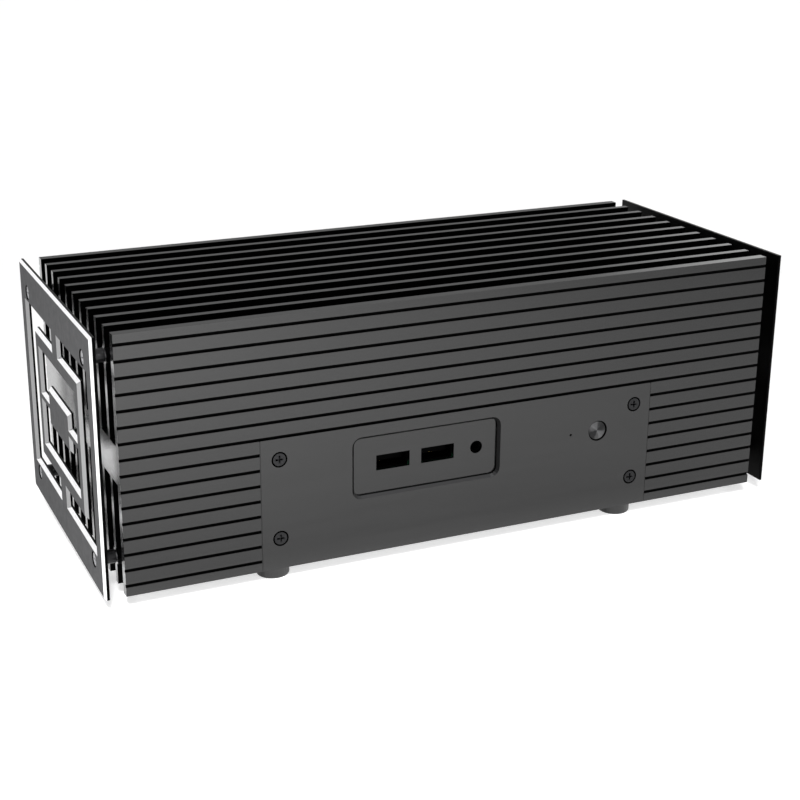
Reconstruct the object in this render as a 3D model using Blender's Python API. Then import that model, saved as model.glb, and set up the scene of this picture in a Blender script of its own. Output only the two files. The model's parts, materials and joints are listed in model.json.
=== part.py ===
"""Fanless mini PC: one finned aluminium extrusion cools a small board that hangs in a pocket milled into
its underside. Port panels close the pocket at the front and rear, a folded tray closes the rest, and a
cut-out plate stands off each end. +X runs along the fins, -Y is the front, and Z is 0 at the feet."""

import math

import bmesh
import bpy
from mathutils import Matrix, Vector

# Driving dimensions, in metres.
BODY_LENGTH = 0.2610
BODY_DEPTH = 0.1130
BODY_HEIGHT = 0.0950
FOOT_HEIGHT = 0.0060
GAP = 0.0003
SCREW_RADIUS = 0.0015
BORE_RADIUS = SCREW_RADIUS + GAP
CUT_OVERRUN = 0.0020

# Heatsink section: fins above and below one solid web, between two grooved walls.
FIN_PITCH = 0.0110
FIN_THICKNESS = 0.0027
FINS_EACH_SIDE = 4
WALL_THICKNESS = 0.0037
WEB_THICKNESS = 0.0142
GROOVE_COUNT = 16
GROOVE_PITCH = 0.00583
GROOVE_WIDTH = 0.0012
GROOVE_DEPTH = 0.0006
FIRST_GROOVE_DROP = 0.0036
BOSS_RADIUS = 0.0032
BOSS_STEPS = 4
BOSS_BORE_DEPTH = 0.0120

# End plates and their fasteners. Offsets are measured from the middle of the end face.
END_GAP = 0.0058
PLATE_DEPTH = 0.1135
PLATE_THICKNESS = 0.0020
PLATE_RIM_CHAMFER = 0.0009
CUT_OUT_CHAMFER = 0.0012
PLATE_BACK_CHAMFER = 0.0002
END_SCREW_Y = FIN_PITCH * FINS_EACH_SIDE
END_SCREW_Z = 0.0371
STANDOFF_RADIUS = 0.0025
RING_OUTER_Y = 0.0484
RING_OUTER_Z = 0.0324
RING_INNER_Y = 0.0350
RING_INNER_Z = 0.0258
RING_BRIDGE_HALF = 0.0052
HOLE_Y = 0.0284
HOLE_Z = 0.0187
BLOCK_Y = 0.0165
BLOCK_Z = 0.0077
CROSSBAR_HALF = 0.0022

# Pocket, tray and port panels. The pocket's ceiling lines up with the eighth groove.
PANEL_HALF = 0.0802
PANEL_HEIGHT = 0.0500
PANEL_THICKNESS = 0.0033
PANEL_SCREW_X = 0.0732
PANEL_SCREW_HEIGHTS = (0.0118, 0.0421)
WINDOW_RISE = 0.0337
WINDOW_HEIGHT = 0.0221
WINDOW_CORNER = 0.0026
WINDOW_CHAMFER = 0.0010
WINDOW_LEDGE = 0.00145
FRONT_WINDOW_X = -0.0152
FRONT_WINDOW_WIDTH = 0.0583
REAR_WINDOW_WIDTH = 0.1000
SHIELD_THICKNESS = 0.0010
SHIELD_LAP = 0.0020
SHEET = 0.0015
TRAY_FLANGE_X = 0.0660
VENT_COUNT = 9
VENT_PITCH = 0.0080
VENT_WIDTH = 0.0030
VENT_LENGTH = 0.0520
BOARD_POST_RADIUS = 0.0026
FOOT_X = 0.0730
FOOT_Y = 0.0463
FOOT_RADIUS = 0.0062
FOOT_EDGE = 0.0007
FOOT_CUP_RADIUS = 0.0036
FOOT_CUP_DEPTH = 0.0028
FOOT_SCREW_BITE = 0.0010

# Power button and status light, in the front panel.
BUTTON_RISE = 0.03345
BUTTON_X = 0.0574
BUTTON_RADIUS = 0.0038
BUTTON_RECESS = 0.0005
BUTTON_EDGE = 0.0002
BUTTON_TRAVEL = 0.0006
LIGHT_X = 0.0454
LIGHT_RADIUS = 0.0005

# Circuit board and what sits on it. Port positions are where each opening's centre is.
BOARD_SIZE = 0.1020
BOARD_THICKNESS = 0.0016
BOARD_BOTTOM = 0.0290
BOARD_POST = 0.0470
PORT_RISE = 0.03415
USB_OPENING = (0.0134, 0.0059)
USB_XS = (-0.0285, -0.0104)
AUDIO_X = 0.0056
AUDIO_OPENING_RADIUS = 0.0025
USB_SIZE = (0.0131, 0.0057, 0.0140)
USB_CAVITY = (0.0123, 0.0049, 0.0100)
USB_TONGUE = (0.0110, 0.0018)
TONGUE_SETBACK = 0.0030
NETWORK_SIZE = (0.0160, 0.0135, 0.0210)
NETWORK_CAVITY = (0.0118, 0.0086, 0.0130)
VIDEO_SIZE = (0.0150, 0.0056, 0.0110)
VIDEO_CAVITY = (0.0142, 0.0048, 0.0085)
VIDEO_TONGUE = (0.0115, 0.0016)
AUDIO_SIZE = (0.0064, 0.0060, 0.0120)
AUDIO_BORE = (0.0018, 0.0095)
POWER_SIZE = (0.0090, 0.0110, 0.0140)
POWER_BORE = (0.0032, 0.0100)
POWER_PIN_RADIUS = 0.0009
POWER_X = -0.0380
VIDEO_X = -0.0180
NETWORK_X = 0.0070
REAR_USB_X = 0.0290
PORT_CLEARANCE = 0.0004
POWER_CLEARANCE = 0.0010

# Heights and planes that follow from the driving dimensions.
BODY_BOTTOM = FOOT_HEIGHT
BODY_TOP = BODY_BOTTOM + BODY_HEIGHT
BODY_MIDDLE = BODY_BOTTOM + BODY_HEIGHT / 2
BODY_END = BODY_LENGTH / 2
FRONT = -BODY_DEPTH / 2
POCKET_HALF = PANEL_HALF + GAP
POCKET_CEILING = BODY_BOTTOM + PANEL_HEIGHT + GAP
PANEL_BACK = FRONT + PANEL_THICKNESS
SHIELD_FRONT = FRONT + WINDOW_LEDGE + GAP
SHIELD_BACK = SHIELD_FRONT + SHIELD_THICKNESS
BOARD_TOP = BODY_BOTTOM + BOARD_BOTTOM + BOARD_THICKNESS
BOARD_UNDERSIDE = BODY_BOTTOM + BOARD_BOTTOM
WINDOW_Z = BODY_BOTTOM + WINDOW_RISE
PORT_Z = BODY_BOTTOM + PORT_RISE
BUTTON_Z = BODY_BOTTOM + BUTTON_RISE
PLATE_INNER = BODY_END + END_GAP

TO_FRONT = Matrix.Rotation(math.radians(90), 4, "X")
TO_REAR = Matrix.Rotation(math.radians(-90), 4, "X")
TO_LEFT = Matrix.Rotation(math.radians(-90), 4, "Y")
TO_RIGHT = Matrix.Rotation(math.radians(90), 4, "Y")
UPWARD = Matrix.Identity(4)


def clear_scene():
    for obj in list(bpy.data.objects):
        bpy.data.objects.remove(obj, do_unlink=True)


def material(name, color, metallic, roughness):
    made = bpy.data.materials.new(name)
    made.use_nodes = True
    shader = made.node_tree.nodes["Principled BSDF"]
    shader.inputs["Base Color"].default_value = (*color, 1.0)
    shader.inputs["Metallic"].default_value = metallic
    shader.inputs["Roughness"].default_value = roughness
    return made


# Meshes


def skin(bm, rings):
    """Closes a stack of rings, which all have the same number of points, into one solid."""
    loops = [[bm.verts.new(point) for point in ring] for ring in rings]
    for lower, upper in zip(loops, loops[1:]):
        for i, start in enumerate(lower):
            j = (i + 1) % len(lower)
            bm.faces.new((start, lower[j], upper[j], upper[i]))
    bm.faces.new(loops[0][::-1])
    bm.faces.new(loops[-1])
    return bm


def prism(bm, outline, start, end):
    """Extrudes an (x, y) outline, listed anticlockwise, along Z."""
    return skin(bm, [[(x, y, z) for x, y in outline] for z in (start, end)])


def turned(bm, profile, segments=20):
    """Turns (radius, z) points, listed from bottom to top, about Z."""
    angles = [math.tau * i / segments for i in range(segments)]
    rings = [[(r * math.cos(a), r * math.sin(a), z) for a in angles] for r, z in profile]
    return skin(bm, rings)


def tube(bm, outer, inner, start, end, segments=20):
    """A round sleeve about Z, open at both ends."""
    angles = [math.tau * i / segments for i in range(segments)]
    corners = ((outer, start), (outer, end), (inner, end), (inner, start))
    rings = [[bm.verts.new((r * math.cos(a), r * math.sin(a), z)) for a in angles] for r, z in corners]
    for ring, after in zip(rings, rings[1:] + rings[:1]):
        for i in range(segments):
            j = (i + 1) % segments
            bm.faces.new((ring[i], ring[j], after[j], after[i]))
    return bm


def rectangle(half_x, half_y, center=(0.0, 0.0)):
    signs = ((-1, -1), (1, -1), (1, 1), (-1, 1))
    return [(center[0] + sx * half_x, center[1] + sy * half_y) for sx, sy in signs]


def stepped(bm, levels, center=(0.0, 0.0)):
    """A block whose rectangle changes with height. Each level is (half_x, half_y, z)."""
    return skin(bm, [[(x, y, z) for x, y in rectangle(hx, hy, center)] for hx, hy, z in levels])


def block(bm, low, high):
    center = ((low[0] + high[0]) / 2, (low[1] + high[1]) / 2)
    half = ((high[0] - low[0]) / 2, (high[1] - low[1]) / 2)
    return prism(bm, rectangle(*half, center), low[2], high[2])


def rounded_rectangle(width, height, radius, center, steps=4):
    """An anticlockwise rectangle with round corners."""
    points = []
    for corner, (sx, sy) in enumerate(((1, 1), (-1, 1), (-1, -1), (1, -1))):
        cx = center[0] + sx * (width / 2 - radius)
        cy = center[1] + sy * (height / 2 - radius)
        for step in range(steps + 1):
            angle = math.radians(90) * (corner + step / steps)
            points.append((cx + radius * math.cos(angle), cy + radius * math.sin(angle)))
    return points


def moved(bm, matrix):
    bmesh.ops.transform(bm, matrix=matrix, verts=bm.verts)
    return bm


def mesh_of(name, bm):
    """Turns one closed shape into a mesh whose faces all point out."""
    bmesh.ops.recalc_face_normals(bm, faces=bm.faces)
    if bm.calc_volume(signed=True) < 0:
        bmesh.ops.reverse_faces(bm, faces=bm.faces)
    mesh = bpy.data.meshes.new(name)
    bm.to_mesh(mesh)
    bm.free()
    return mesh


def merged(name, parts):
    """One mesh that holds several separate shapes, such as all the cutters for one piece."""
    whole = bmesh.new()
    for part in parts:
        mesh = mesh_of(name, part)
        whole.from_mesh(mesh)
        bpy.data.meshes.remove(mesh)
    mesh = bpy.data.meshes.new(name)
    whole.to_mesh(mesh)
    whole.free()
    return mesh


def add(name, mesh, look, place=UPWARD):
    """Puts a mesh into the scene as one named piece."""
    obj = bpy.data.objects.new(name, mesh)
    if not mesh.materials:
        mesh.materials.append(look)
    mesh.shade_smooth()
    mesh.set_sharp_from_angle(angle=math.radians(30))
    obj.matrix_world = place
    bpy.context.scene.collection.objects.link(obj)
    return obj


def combine(obj, parts, operation):
    """Cuts helper shapes out of a piece, or joins them on."""
    name = f"{obj.name}_{operation.lower()}"
    helper = bpy.data.objects.new(name, merged(name, parts))
    helper.hide_render = True
    helper.display_type = "WIRE"
    bpy.context.scene.collection.objects.link(helper)
    modifier = obj.modifiers.new(operation.title(), "BOOLEAN")
    modifier.operation = operation
    modifier.object = helper
    modifier.solver = "EXACT"


def cut(obj, *parts):
    combine(obj, parts, "DIFFERENCE")


def join(obj, *parts):
    combine(obj, parts, "UNION")


def at(x, y, z, turn=UPWARD):
    return Matrix.Translation((x, y, z)) @ turn


def drill(radius, start, end, place, segments=12):
    """A round cutter from start to end along the placed Z axis."""
    return moved(turned(bmesh.new(), [(radius, start), (radius, end)], segments), place)


# Heatsink


def groove_heights():
    return [BODY_TOP - FIRST_GROOVE_DROP - i * GROOVE_PITCH for i in range(GROOVE_COUNT)]


def wall_face(side):
    """The outer face of a wall from bottom to top, with its grooves, as (y, z) points."""
    outer = side * BODY_DEPTH / 2
    inner = side * (BODY_DEPTH / 2 - GROOVE_DEPTH)
    points = [(outer, BODY_BOTTOM)]
    for z in reversed(groove_heights()):
        low = z - GROOVE_WIDTH / 2
        high = z + GROOVE_WIDTH / 2
        points += [(outer, low), (inner, low), (inner, high), (outer, high)]
    points.append((outer, BODY_TOP))
    return points


def fin_side(y, side, root, tip, boss_z):
    """One side of a fin from root to tip. The outermost fins swell into a screw boss."""
    edge = y + side * FIN_THICKNESS / 2
    points = [(edge, root)]
    if abs(abs(y) - END_SCREW_Y) < FIN_PITCH / 2:
        reach = math.acos(FIN_THICKNESS / 2 / BOSS_RADIUS)
        upward = math.copysign(1.0, tip - root)
        for step in range(BOSS_STEPS + 1):
            angle = reach * (2 * step / BOSS_STEPS - 1)
            swell = side * BOSS_RADIUS * math.cos(angle)
            points.append((y + swell, boss_z + upward * BOSS_RADIUS * math.sin(angle)))
    points.append((edge, tip))
    return points


def comb(direction):
    """The fins on one side of the web, from the front wall to the rear one."""
    root = BODY_MIDDLE + direction * WEB_THICKNESS / 2
    tip = BODY_MIDDLE + direction * BODY_HEIGHT / 2
    boss_z = BODY_MIDDLE + direction * END_SCREW_Z
    inside = BODY_DEPTH / 2 - WALL_THICKNESS
    points = [(-inside, tip), (-inside, root)]
    for i in range(-FINS_EACH_SIDE, FINS_EACH_SIDE + 1):
        y = i * FIN_PITCH
        points += fin_side(y, -1, root, tip, boss_z)
        points += reversed(fin_side(y, 1, root, tip, boss_z))
    points += [(inside, root), (inside, tip)]
    return points


def heatsink(look):
    """One extrusion, milled out below the web between the two lower fin stacks."""
    section = wall_face(-1) + comb(1) + wall_face(1)[::-1] + comb(-1)[::-1]
    bm = skin(bmesh.new(), [[(x, y, z) for y, z in section] for x in (-BODY_END, BODY_END)])
    body = add("main_heatsink", mesh_of("main_heatsink", bm), look)
    reach = BODY_DEPTH / 2 + CUT_OVERRUN
    low = (-POCKET_HALF, -reach, BODY_BOTTOM - CUT_OVERRUN)
    pocket = block(bmesh.new(), low, (POCKET_HALF, reach, POCKET_CEILING))
    bores = []
    for turn, side in ((TO_LEFT, -1), (TO_RIGHT, 1)):
        for y, z in end_screw_places():
            bores.append(drill(BORE_RADIUS, -BOSS_BORE_DEPTH, CUT_OVERRUN, at(side * BODY_END, y, z, turn)))
    cut(body, pocket, *bores)


# Screws, standoffs and feet

END_SCREW_BITE = 0.0084
END_SCREW_RECESS = 0.0003
PANEL_SCREW_LENGTH = 0.0080
SCREW_HEAD_RADIUS = 0.0024
SCREW_HEAD_GAP = 0.0006
SCREW_HEAD_HEIGHT = 0.0016
SCREW_HEAD_RIM = 0.0002
RECESS_ARM = 0.0015
RECESS_HALF_WIDTH = 0.00034
RECESS_DEPTH = 0.0008
RECESS_TAPER = 0.50
FOOT_SCREW_HEAD = (0.0029, 0.0018)


def cross_outline(scale):
    arm = RECESS_ARM * scale
    half = RECESS_HALF_WIDTH * scale
    quarter = [(arm, -half), (arm, half), (half, half)]
    points = []
    for turn in range(4):
        c = round(math.cos(math.radians(90 * turn)))
        s = round(math.sin(math.radians(90 * turn)))
        points += [(c * x - s * y, s * x + c * y) for x, y in quarter]
    return points


def recessed_head(bm, rim):
    """Fills the top of a head, from its rim of vertices in to a tapered cross recess."""
    top_z = rim[0].co.z
    mouth = [bm.verts.new((x, y, top_z)) for x, y in cross_outline(1.0)]
    floor = [bm.verts.new((x, y, top_z - RECESS_DEPTH)) for x, y in cross_outline(RECESS_TAPER)]
    count = len(mouth)
    for i in range(count):
        j = (i + 1) % count
        bm.faces.new((mouth[j], mouth[i], floor[i], floor[j]))
    bm.faces.new(floor)
    edges = []
    for loop in (rim, mouth):
        for start, end in zip(loop, loop[1:] + loop[:1]):
            edges.append(bm.edges.get((start, end)) or bm.edges.new((start, end)))
    bmesh.ops.triangle_fill(bm, use_beauty=True, edges=edges)


def screw_mesh(name, profile, segments=16):
    """A screw about Z. The profile is (radius, z) points from the tip up to the rim of the head."""
    bm = bmesh.new()
    angles = [math.tau * (i + 0.5) / segments for i in range(segments)]
    loops = [[bm.verts.new((r * math.cos(a), r * math.sin(a), z)) for a in angles] for r, z in profile]
    for lower, upper in zip(loops, loops[1:]):
        for i in range(segments):
            j = (i + 1) % segments
            bm.faces.new((lower[i], lower[j], upper[j], upper[i]))
    bm.faces.new(loops[0][::-1])
    recessed_head(bm, loops[-1])
    return mesh_of(name, bm)


def countersunk_screw(name, length):
    cone = SCREW_HEAD_HEIGHT + SCREW_HEAD_RIM
    head = [(SCREW_RADIUS, -cone), (SCREW_HEAD_RADIUS, -SCREW_HEAD_RIM), (SCREW_HEAD_RADIUS, 0.0)]
    return screw_mesh(name, [(SCREW_RADIUS, -length)] + head)


def countersink(place, through):
    """The cutter for a countersunk hole whose face is at the placed origin."""
    mouth = SCREW_HEAD_RADIUS + SCREW_HEAD_GAP
    cone = SCREW_HEAD_HEIGHT + SCREW_HEAD_RIM
    profile = [(BORE_RADIUS, -through), (BORE_RADIUS, -cone - GAP)]
    profile += [(mouth, -SCREW_HEAD_RIM - GAP), (mouth, CUT_OVERRUN)]
    return moved(turned(bmesh.new(), profile, 16), place)


def end_screw_places():
    return [(sy * END_SCREW_Y, BODY_MIDDLE + sz * END_SCREW_Z) for sz in (1, -1) for sy in (-1, 1)]


def end_fasteners(look):
    screw = countersunk_screw("end_screw", PLATE_THICKNESS + END_GAP + END_SCREW_BITE)
    sleeve = tube(bmesh.new(), STANDOFF_RADIUS, BORE_RADIUS, GAP, END_GAP - GAP, 14)
    spacer = mesh_of("standoff", sleeve)
    for side_name, side, turn in (("left", -1, TO_LEFT), ("right", 1, TO_RIGHT)):
        for number, (y, z) in enumerate(end_screw_places(), 1):
            place = at(side * BODY_END, y, z, turn)
            add(f"{side_name}_standoff_{number}", spacer, look, place)
            place = at(side * (PLATE_INNER + PLATE_THICKNESS - END_SCREW_RECESS), y, z, turn)
            add(f"{side_name}_end_screw_{number}", screw, look, place)


def panel_screw_places():
    return [(sx * PANEL_SCREW_X, BODY_BOTTOM + z) for z in PANEL_SCREW_HEIGHTS for sx in (-1, 1)]


def panel_screws(look):
    screw = countersunk_screw("panel_screw", PANEL_SCREW_LENGTH)
    for panel, turn, y in (("front", TO_FRONT, FRONT), ("rear", TO_REAR, -FRONT)):
        for number, (x, z) in enumerate(panel_screw_places(), 1):
            add(f"{panel}_panel_screw_{number}", screw, look, at(x, y, z, turn))


def foot_places():
    return [(sx * FOOT_X, sy * FOOT_Y) for sy in (-1, 1) for sx in (-1, 1)]


def foot_mesh():
    shoulder = 0.3 * FOOT_EDGE
    profile = [(FOOT_RADIUS - FOOT_EDGE, 0.0), (FOOT_RADIUS - shoulder, shoulder)]
    profile += [(FOOT_RADIUS, FOOT_EDGE), (FOOT_RADIUS, FOOT_HEIGHT - GAP)]
    return mesh_of("foot", turned(bmesh.new(), profile, 32))


def feet(rubber, metal):
    """Rubber feet with a cupped underside, which hides the screw that holds them to the tray."""
    head_radius, head_height = FOOT_SCREW_HEAD
    seat = FOOT_CUP_DEPTH - GAP
    foot = foot_mesh()
    shank = FOOT_HEIGHT + SHEET + FOOT_SCREW_BITE - seat
    profile = [(SCREW_RADIUS, -shank), (SCREW_RADIUS, 0.0), (head_radius, 0.0)]
    profile += [(head_radius, 0.6 * head_height), (0.8 * head_radius, head_height)]
    screw = screw_mesh("foot_screw", profile, 12)
    hollow = [(FOOT_CUP_RADIUS, -CUT_OVERRUN), (FOOT_CUP_RADIUS, FOOT_CUP_DEPTH)]
    hollow += [(BORE_RADIUS, FOOT_CUP_DEPTH), (BORE_RADIUS, FOOT_HEIGHT + CUT_OVERRUN)]
    downward = Matrix.Rotation(math.radians(180), 4, "X")
    for number, (x, y) in enumerate(foot_places(), 1):
        piece = add(f"rubber_foot_{number}", foot, rubber, at(x, y, 0.0))
        cut(piece, moved(turned(bmesh.new(), hollow, 12), at(x, y, 0.0)))
        add(f"foot_screw_{number}", screw, metal, at(x, y, seat, downward))


# End plates


def grown(outline, amount):
    """A rectilinear anticlockwise outline with every edge moved outwards by the same amount."""
    count = len(outline)
    points = []
    for i, (x, y) in enumerate(outline):
        shift = Vector((0.0, 0.0))
        for start, end in ((outline[i - 1], outline[i]), (outline[i], outline[(i + 1) % count])):
            along = (Vector(end) - Vector(start)).normalized()
            shift += Vector((along.y, -along.x)) * amount
        points.append((x + shift.x, y + shift.y))
    return points


def ring_half(side):
    """One half of the slot that runs round the plate, up to the bridges at its middle."""
    near, wide, inner = RING_BRIDGE_HALF, RING_OUTER_Y, RING_INNER_Y
    tall, low = RING_OUTER_Z, RING_INNER_Z
    half = [(near, -tall), (wide, -tall), (wide, tall), (near, tall)]
    half += [(near, low), (inner, low), (inner, -low), (near, -low)]
    return half if side > 0 else [(-y, z) for y, z in reversed(half)]


def inner_hole(side):
    """One of the two holes above and below the middle block, which crossbars tie to the ring."""
    upper = [(-HOLE_Y, HOLE_Z), (-HOLE_Y, CROSSBAR_HALF), (-BLOCK_Y, CROSSBAR_HALF), (-BLOCK_Y, BLOCK_Z)]
    upper += [(BLOCK_Y, BLOCK_Z), (BLOCK_Y, CROSSBAR_HALF), (HOLE_Y, CROSSBAR_HALF), (HOLE_Y, HOLE_Z)]
    return upper if side > 0 else [(y, -z) for y, z in reversed(upper)]


def chamfered_cutter(outline):
    """Cuts an outline through the plate, and flares it to a chamfer at the outer face."""
    flared = grown(outline, CUT_OUT_CHAMFER)
    levels = [(outline, -CUT_OVERRUN), (outline, PLATE_THICKNESS - CUT_OUT_CHAMFER)]
    levels += [(flared, PLATE_THICKNESS), (flared, PLATE_THICKNESS + CUT_OVERRUN)]
    return skin(bmesh.new(), [[(y, z, depth) for y, z in line] for line, depth in levels])


def end_plate(name, side, look):
    """Local X and Y lie in the plate, Z points out from the body, and the wide chamfers face outwards."""
    half_y, half_z = PLATE_DEPTH / 2, BODY_HEIGHT / 2
    levels = [(half_y - PLATE_BACK_CHAMFER, half_z - PLATE_BACK_CHAMFER, 0.0)]
    levels += [(half_y, half_z, z) for z in (PLATE_BACK_CHAMFER, PLATE_THICKNESS - PLATE_RIM_CHAMFER)]
    levels.append((half_y - PLATE_RIM_CHAMFER, half_z - PLATE_RIM_CHAMFER, PLATE_THICKNESS))
    turn = Matrix(((0, 0, side, 0), (side, 0, 0, 0), (0, 1, 0, 0), (0, 0, 0, 1)))
    place = at(side * PLATE_INNER, 0.0, BODY_MIDDLE, turn)
    plate = add(name, mesh_of(name, stepped(bmesh.new(), levels)), look, place)
    holes = [ring_half(1), ring_half(-1), inner_hole(1), inner_hole(-1)]
    cutters = [moved(chamfered_cutter(hole), place) for hole in holes]
    for sy in (-1, 1):
        for sz in (-1, 1):
            middle = place @ at(sy * END_SCREW_Y, sz * END_SCREW_Z, PLATE_THICKNESS - END_SCREW_RECESS)
            cutters.append(countersink(middle, PLATE_THICKNESS + CUT_OVERRUN))
    cut(plate, *cutters)


# Tray and port panels


def tray(look):
    """A folded sheet that closes the pocket, with flanges for the panel screws and posts for the board."""
    half_y = -PANEL_BACK - GAP
    low = (-PANEL_HALF, -half_y, BODY_BOTTOM)
    top = BODY_BOTTOM + PANEL_HEIGHT
    body = add("board_tray", mesh_of("board_tray", block(bmesh.new(), low, (PANEL_HALF, half_y, top))), look)
    side, end = PANEL_HALF - SHEET, half_y - SHEET
    mouth, out = TRAY_FLANGE_X, half_y + CUT_OVERRUN
    inside = [(-mouth, -out), (mouth, -out), (mouth, -end), (side, -end), (side, end), (mouth, end)]
    inside += [(-x, -y) for x, y in inside]
    cut(body, prism(bmesh.new(), inside, BODY_BOTTOM + SHEET, top + CUT_OVERRUN))
    holes = [drill(BORE_RADIUS, -SHEET, 2 * SHEET, at(x, y, BODY_BOTTOM)) for x, y in foot_places()]
    for x, z in panel_screw_places():
        holes.append(drill(BORE_RADIUS, -BODY_DEPTH, BODY_DEPTH, at(x, 0.0, z, TO_FRONT)))
    for i in range(VENT_COUNT):
        x = (i - (VENT_COUNT - 1) / 2) * VENT_PITCH
        outline = rounded_rectangle(VENT_WIDTH, VENT_LENGTH, 0.49 * VENT_WIDTH, (x, 0.0), 2)
        holes.append(prism(bmesh.new(), outline, BODY_BOTTOM - SHEET, BODY_BOTTOM + 2 * SHEET))
    cut(body, *holes)
    post_top = BOARD_UNDERSIDE - GAP
    posts = []
    for sx in (-1, 1):
        for sy in (-1, 1):
            place = at(sx * BOARD_POST, sy * BOARD_POST, 0.0)
            posts.append(drill(BOARD_POST_RADIUS, BODY_BOTTOM + SHEET / 2, post_top, place))
    join(body, *posts)


def shield_half(window_width):
    """Half the width and height of the shield behind a window."""
    return window_width / 2 + SHIELD_LAP, WINDOW_HEIGHT / 2 + SHIELD_LAP


def shield_rebate(side, window_x, window_width):
    """The cutter for the pocket in the back of a panel that takes the shield."""
    half_x, half_z = (half + GAP for half in shield_half(window_width))
    ends = (side * -(FRONT + WINDOW_LEDGE), side * -(PANEL_BACK + CUT_OVERRUN))
    low = (window_x - half_x, min(ends), WINDOW_Z - half_z)
    return block(bmesh.new(), low, (window_x + half_x, max(ends), WINDOW_Z + half_z))


def port_panel(name, side, window_x, window_width, look, extra=()):
    """A flush panel with a window for the ports. Side is -1 at the front and 1 at the rear."""
    outer, inner = side * -FRONT, side * -PANEL_BACK
    low = (-PANEL_HALF, min(outer, inner), BODY_BOTTOM)
    high = (PANEL_HALF, max(outer, inner), BODY_BOTTOM + PANEL_HEIGHT)
    panel = add(name, mesh_of(name, block(bmesh.new(), low, high)), look)
    turn = TO_REAR if side > 0 else TO_FRONT
    levels = ((0.0, -PANEL_THICKNESS - CUT_OVERRUN), (0.0, -WINDOW_CHAMFER), (WINDOW_CHAMFER, 0.0))
    levels += ((WINDOW_CHAMFER, CUT_OVERRUN),)
    rings = []
    for flare, z in levels:
        size = (window_width + 2 * flare, WINDOW_HEIGHT + 2 * flare, WINDOW_CORNER + flare)
        rings.append([(x, y, z) for x, y in rounded_rectangle(*size, (window_x, 0.0))])
    cutters = [moved(skin(bmesh.new(), rings), at(0.0, outer, WINDOW_Z, turn))]
    for x, z in panel_screw_places():
        cutters.append(countersink(at(x, outer, z, turn), PANEL_THICKNESS + CUT_OVERRUN))
    cut(panel, *cutters, *extra)
    cut(panel, shield_rebate(side, window_x, window_width))
    return panel


def port_shield(name, side, window_x, window_width, openings, look):
    """The thin plate behind a window. Openings are (x, z, width, height), and a square one is cut round."""
    half_x, half_z = shield_half(window_width)
    near, far = side * -SHIELD_FRONT, side * -SHIELD_BACK
    low = (window_x - half_x, min(near, far), WINDOW_Z - half_z)
    high = (window_x + half_x, max(near, far), WINDOW_Z + half_z)
    shield = add(name, mesh_of(name, block(bmesh.new(), low, high)), look)
    cutters = []
    for x, z, width, height in openings:
        middle = at(x, (near + far) / 2, z, TO_FRONT)
        if width == height:
            cutters.append(drill(width / 2, -CUT_OVERRUN, CUT_OVERRUN, middle, 20))
        else:
            hole = prism(bmesh.new(), rectangle(width / 2, height / 2), -CUT_OVERRUN, CUT_OVERRUN)
            cutters.append(moved(hole, middle))
    cut(shield, *cutters)


# Power button and status light. Their shared circuit board stands on two studs behind the panel.

BUTTON_BOARD_FRONT = FRONT + 0.0105
BUTTON_BOARD_THICKNESS = 0.0012
BUTTON_BOARD_HALF = (0.0120, 0.0065)
BUTTON_BOARD_X = 0.0520
BUTTON_BOARD_RISE = 0.0045
STUD_SPREAD = 0.0095
STUD_RISE = 0.0070
SWITCH_HALF = 0.0030
SWITCH_DEPTH = 0.0032
PLUNGER_RADIUS = 0.0013
FLANGE_THICKNESS = 0.0010
FLANGE_WIDTH = 0.0013
STEM_RADIUS = 0.0015
STEM_LENGTH = 0.0012
STUD_RADIUS = 0.0016
STUD_HOLE_RADIUS = 0.0011
LIGHT_BODY_RADIUS = 0.0015
LIGHT_RIM = 0.0003
LIGHT_RIM_HEIGHT = 0.0010
LEAD_RADIUS = 0.0009
LEAD_STEPS = 12


def button_openings():
    """The button's hole and the light's pinhole, cut through the front panel."""
    cutters = []
    for x, radius, segments in ((BUTTON_X, BUTTON_RADIUS + GAP, 32), (LIGHT_X, LIGHT_RADIUS, 12)):
        place = at(x, FRONT, BUTTON_Z, TO_FRONT)
        cutters.append(drill(radius, -PANEL_THICKNESS - CUT_OVERRUN, CUT_OVERRUN, place, segments))
    return cutters


def stud_places():
    return [BUTTON_BOARD_X + sx * STUD_SPREAD for sx in (-1, 1)]


def button_studs(panel):
    """Two studs pressed into the back of the panel, which carry the button's circuit board."""
    start, end = PANEL_THICKNESS / 2, BUTTON_BOARD_FRONT - FRONT - GAP
    studs = []
    for x in stud_places():
        studs.append(drill(STUD_RADIUS, -end, -start, at(x, FRONT, BUTTON_Z + STUD_RISE, TO_FRONT)))
    join(panel, *studs)


def power_button(metal, plastic):
    """A flanged metal cap, and the plunger that it pushes. Both have their origin on the button's axis."""
    cap, edge = -BUTTON_RECESS, BUTTON_EDGE
    flange = -PANEL_THICKNESS - GAP
    flange_back, flange_radius = flange - FLANGE_THICKNESS, BUTTON_RADIUS + FLANGE_WIDTH
    stem_end = flange_back - STEM_LENGTH
    profile = [(STEM_RADIUS, stem_end), (STEM_RADIUS, flange_back)]
    profile += [(flange_radius, flange_back), (flange_radius, flange)]
    profile += [(BUTTON_RADIUS, flange), (BUTTON_RADIUS, cap - edge), (BUTTON_RADIUS - edge, cap)]
    place = at(BUTTON_X, FRONT, BUTTON_Z, TO_FRONT)
    add("power_button", mesh_of("power_button", turned(bmesh.new(), profile, 32)), metal, place)
    tip = -(BUTTON_BOARD_FRONT - FRONT - GAP - SWITCH_DEPTH) - BUTTON_TRAVEL - 2 * GAP
    plunger = turned(bmesh.new(), [(PLUNGER_RADIUS, tip), (PLUNGER_RADIUS, stem_end - GAP)], 16)
    add("switch_plunger", mesh_of("switch_plunger", plunger), plastic, place)


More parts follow.
